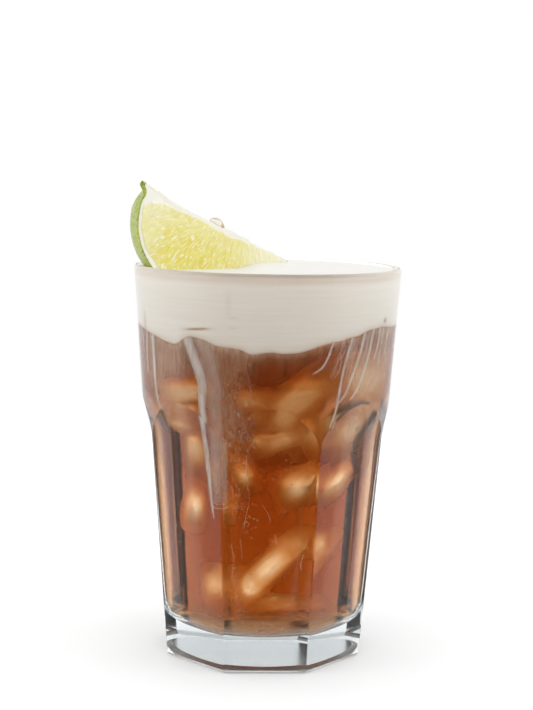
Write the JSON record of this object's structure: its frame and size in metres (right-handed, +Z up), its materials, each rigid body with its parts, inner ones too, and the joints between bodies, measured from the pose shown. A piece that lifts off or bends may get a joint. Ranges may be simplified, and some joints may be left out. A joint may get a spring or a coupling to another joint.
{
  "type": "dirty soda in a tumbler",
  "caption": "Iced cola under a layer of sweet cream in a tall flat-sided glass tumbler, with a wedge of lime resting in the cream against the rim.",
  "frame": {"origin": "on the tumbler's axis, in the plane that its foot stands on", "axes": "+Z up along the tumbler's axis; -Y out of the middle of one flat side, the side that the drink is seen from; +X to the right of that side"},
  "size_m": [0.0906, 0.0888, 0.1574],
  "materials": {
    "glass": "gloss",
    "cola": "gloss",
    "cream": "satin",
    "lime": "satin"
  },
  "bodies": {
    "root": {"glass": "glass", "cola": "cola", "cream": "cream", "lime_wedge": "lime"}
  },
  "joints": []
}
